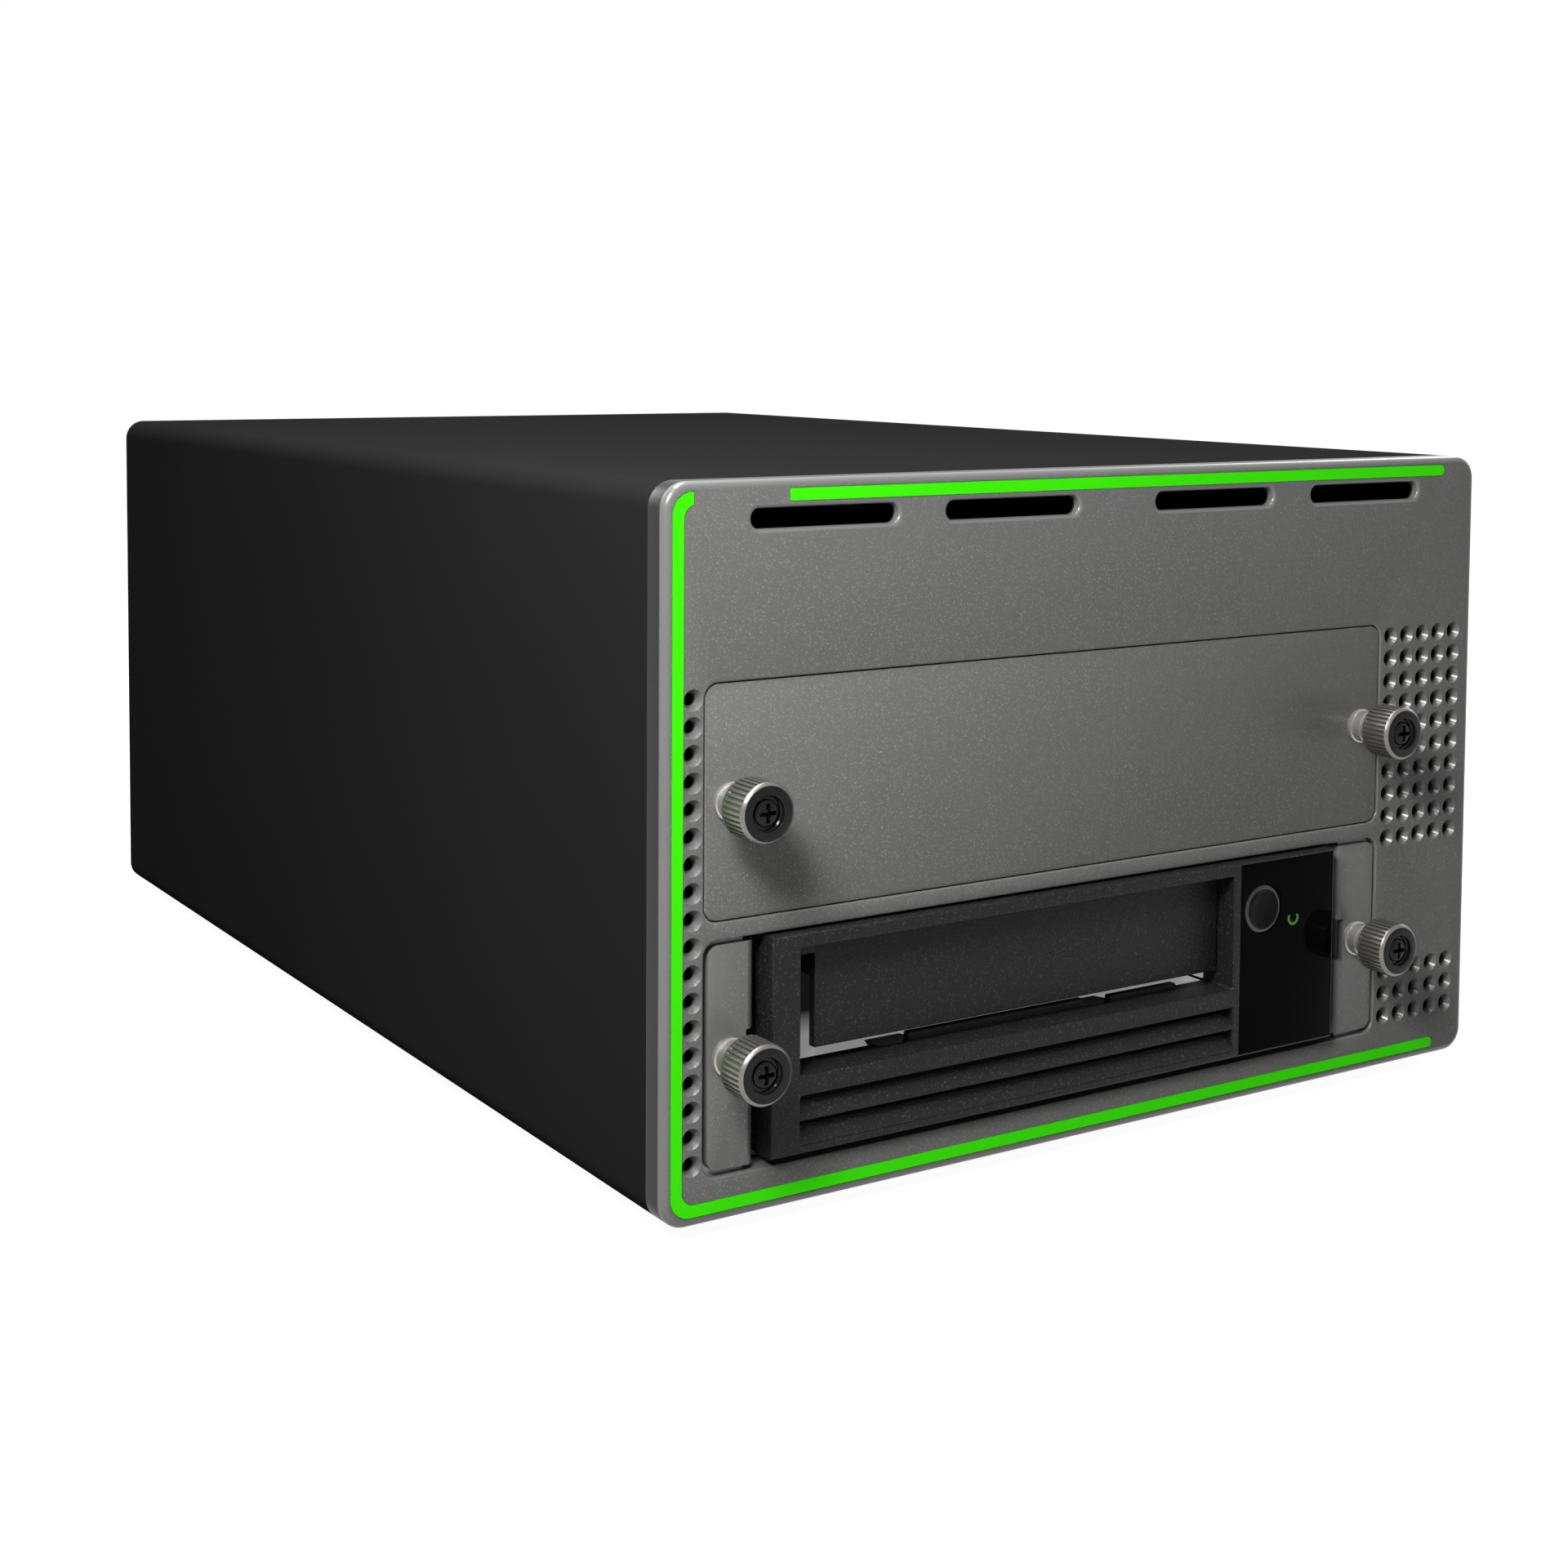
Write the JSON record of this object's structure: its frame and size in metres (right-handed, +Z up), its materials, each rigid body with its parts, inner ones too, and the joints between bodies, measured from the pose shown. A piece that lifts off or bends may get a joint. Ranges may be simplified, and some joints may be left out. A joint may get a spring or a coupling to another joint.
{
  "type": "data tape drive",
  "caption": "desktop enclosure with two wide drive bays, a blank cover above and a half-height tape drive on a slide-out tray below, thumbscrews and green accent stripe",
  "frame": {"origin": "bottom centre of the whole object's box, on the plane the feet rest on", "axes": "+X to the right as seen from the front, +Y from the front to the back, +Z up"},
  "size_m": [0.21, 0.334, 0.1385],
  "materials": {
    "front_coat": "fine-grain powder coat",
    "sleeve_coat": "satin powder coat",
    "accent_green": "satin",
    "zinc_sheet": "zinc plated",
    "tray_coat": "metallic coat",
    "screw_black": "gloss black",
    "screw_bright": "nickel plated",
    "nut_steel": "plain",
    "drive_plastic": "fine sparkle texture",
    "panel_gloss": "gloss",
    "button_plastic": "satin",
    "light_green": "lit",
    "case_metal": "cast",
    "bright_sheet": "bright",
    "board_green": "solder mask",
    "chip_black": "moulded",
    "dark_plastic": "moulded",
    "brass_pin": "plated",
    "foot_rubber": "matt",
    "reel_plastic": "moulded",
    "head_ceramic": "ground"
  },
  "bodies": {
    "chassis": {"front_bezel": "front_coat", "accent_stripe": "accent_green", "sleeve": "sleeve_coat", "base_pan": "zinc_sheet", "feet": "foot_rubber", "cage_sides": "zinc_sheet", "bay_shelves": "zinc_sheet", "thumb_nuts": "nut_steel", "rear_panel": "sleeve_coat", "backplane": "board_green", "dock_socket": "dark_plastic", "mains_inlet": "dark_plastic", "inlet_pins": "brass_pin", "rocker_frame": "dark_plastic", "fan_frame": "dark_plastic", "psu_bracket": "zinc_sheet", "psu_board": "board_green", "psu_parts": "chip_black", "rear_shelf": "zinc_sheet", "interface_board": "board_green", "board_parts": "chip_black", "host_ports": "bright_sheet", "sas_port": "bright_sheet"},
    "blank": {"blank_cover": "front_coat", "blank_ferrules": "screw_bright"},
    "drive_tray": {"tray_pan": "tray_coat", "tray_ferrules": "screw_bright", "drive_spacers": "dark_plastic", "drive_case": "case_metal", "drive_lid": "bright_sheet", "drive_bezel": "drive_plastic", "mouth_liner": "bright_sheet", "control_panel": "panel_gloss", "status_light": "light_green", "door_pin": "bright_sheet", "deck_plate": "case_metal", "deck_fittings": "bright_sheet", "drive_board": "board_green", "drive_chips": "chip_black", "dock_plug": "dark_plastic"},
    "door": {"load_door": "drive_plastic"},
    "eject": {"eject_button": "button_plastic"},
    "bucket": {"cartridge_bucket": "bright_sheet"},
    "loader": {"loader_slider": "bright_sheet"},
    "hub": {"hub_spindle": "dark_plastic"},
    "reel": {"take_up_reel": "reel_plastic"},
    "roller_front": {"guide_roller_front": "bright_sheet"},
    "roller_rear": {"guide_roller_rear": "bright_sheet"},
    "head": {"head_carriage": "head_ceramic"},
    "fan": {"fan_rotor": "dark_plastic"},
    "rocker": {"power_rocker": "dark_plastic"},
    "washer_upper_left": {"thumb_washer_upper_left": "screw_bright"},
    "screw_upper_left": {"thumbscrew_upper_left": "screw_black"},
    "washer_upper_right": {"thumb_washer_upper_right": "screw_bright"},
    "screw_upper_right": {"thumbscrew_upper_right": "screw_black"},
    "washer_lower_left": {"thumb_washer_lower_left": "screw_bright"},
    "screw_lower_left": {"thumbscrew_lower_left": "screw_black"},
    "washer_lower_right": {"thumb_washer_lower_right": "screw_bright"},
    "screw_lower_right": {"thumbscrew_lower_right": "screw_black"}
  },
  "joints": [
    {"name": "blank_slide", "type": "slide", "parent": "chassis", "child": "blank", "axis": [0, -1, 0], "range_m": [0, 0.04]},
    {"name": "tray_slide", "type": "slide", "parent": "chassis", "child": "drive_tray", "axis": [0, -1, 0], "range_m": [0, 0.225]},
    {"name": "washer_travel_upper_left", "type": "slide", "parent": "blank", "child": "washer_upper_left", "axis": [0, -1, 0], "range_m": [0, 0.0049]},
    {"name": "screw_turn_upper_left", "type": "hinge", "parent": "washer_upper_left", "child": "screw_upper_left", "pos_m": [-0.0908, -0.15422, 0.0802], "axis": [0, -1, 0], "range_deg": [0, 2520]},
    {"name": "washer_travel_upper_right", "type": "slide", "parent": "blank", "child": "washer_upper_right", "axis": [0, -1, 0], "range_m": [0, 0.0049]},
    {"name": "screw_turn_upper_right", "type": "hinge", "parent": "washer_upper_right", "child": "screw_upper_right", "pos_m": [0.0702, -0.15422, 0.0802], "axis": [0, -1, 0], "range_deg": [0, 2520]},
    {"name": "washer_travel_lower_left", "type": "slide", "parent": "drive_tray", "child": "washer_lower_left", "axis": [0, -1, 0], "range_m": [0, 0.0049]},
    {"name": "screw_turn_lower_left", "type": "hinge", "parent": "washer_lower_left", "child": "screw_lower_left", "pos_m": [-0.0908, -0.15422, 0.0331], "axis": [0, -1, 0], "range_deg": [0, 2520]},
    {"name": "washer_travel_lower_right", "type": "slide", "parent": "drive_tray", "child": "washer_lower_right", "axis": [0, -1, 0], "range_m": [0, 0.0049]},
    {"name": "screw_turn_lower_right", "type": "hinge", "parent": "washer_lower_right", "child": "screw_lower_right", "pos_m": [0.0702, -0.15422, 0.0331], "axis": [0, -1, 0], "range_deg": [0, 2520]},
    {"name": "door_swing", "type": "hinge", "parent": "drive_tray", "child": "door", "pos_m": [0, -0.15002, 0.0515], "axis": [1, 0, 0], "range_deg": [0, 88], "stiffness_Nm_per_rad": 0.004, "springref_deg": -28.65},
    {"name": "eject_press", "type": "slide", "parent": "drive_tray", "child": "eject", "axis": [0, 1, 0], "range_m": [0, 0.0012], "stiffness_N_per_m": 400, "springref_m": -0.001},
    {"name": "loader_travel", "type": "slide", "parent": "drive_tray", "child": "loader", "axis": [0, 1, 0], "range_m": [0, 0.012]},
    {"name": "bucket_drop", "type": "slide", "parent": "drive_tray", "child": "bucket", "axis": [0, 0, -1], "range_m": [0, 0.004]},
    {"name": "hub_turn", "type": "hinge", "parent": "drive_tray", "child": "hub", "pos_m": [-0.0225, -0.09622, 0.0185], "axis": [0, 0, 1], "continuous": true},
    {"name": "reel_turn", "type": "hinge", "parent": "drive_tray", "child": "reel", "pos_m": [-0.025, 0.00878, 0.0185], "axis": [0, 0, 1], "continuous": true},
    {"name": "roller_front_turn", "type": "hinge", "parent": "drive_tray", "child": "roller_front", "pos_m": [0.043, -0.02622, 0.0185], "axis": [0, 0, 1], "continuous": true},
    {"name": "roller_rear_turn", "type": "hinge", "parent": "drive_tray", "child": "roller_rear", "pos_m": [0.043, 0.02178, 0.0185], "axis": [0, 0, 1], "continuous": true},
    {"name": "head_travel", "type": "slide", "parent": "drive_tray", "child": "head", "axis": [0, 0, 1], "range_m": [-0.002, 0.004]},
    {"name": "fan_turn", "type": "hinge", "parent": "chassis", "child": "fan", "pos_m": [0.048, 0.15028, 0.073], "axis": [0, 1, 0], "continuous": true},
    {"name": "rocker_tip", "type": "hinge", "parent": "chassis", "child": "rocker", "pos_m": [-0.034, 0.15878, 0.065], "axis": [1, 0, 0], "range_deg": [0, 16]}
  ],
  "couplings": [
    {"joint": "screw_turn_upper_left", "follows": "washer_travel_upper_left", "rad_per_m": 8975.1},
    {"joint": "screw_turn_upper_right", "follows": "washer_travel_upper_right", "rad_per_m": 8975.1},
    {"joint": "screw_turn_lower_left", "follows": "washer_travel_lower_left", "rad_per_m": 8975.1},
    {"joint": "screw_turn_lower_right", "follows": "washer_travel_lower_right", "rad_per_m": 8975.1},
    {"joint": "bucket_drop", "follows": "loader_travel", "ratio": 0.33333}
  ]
}
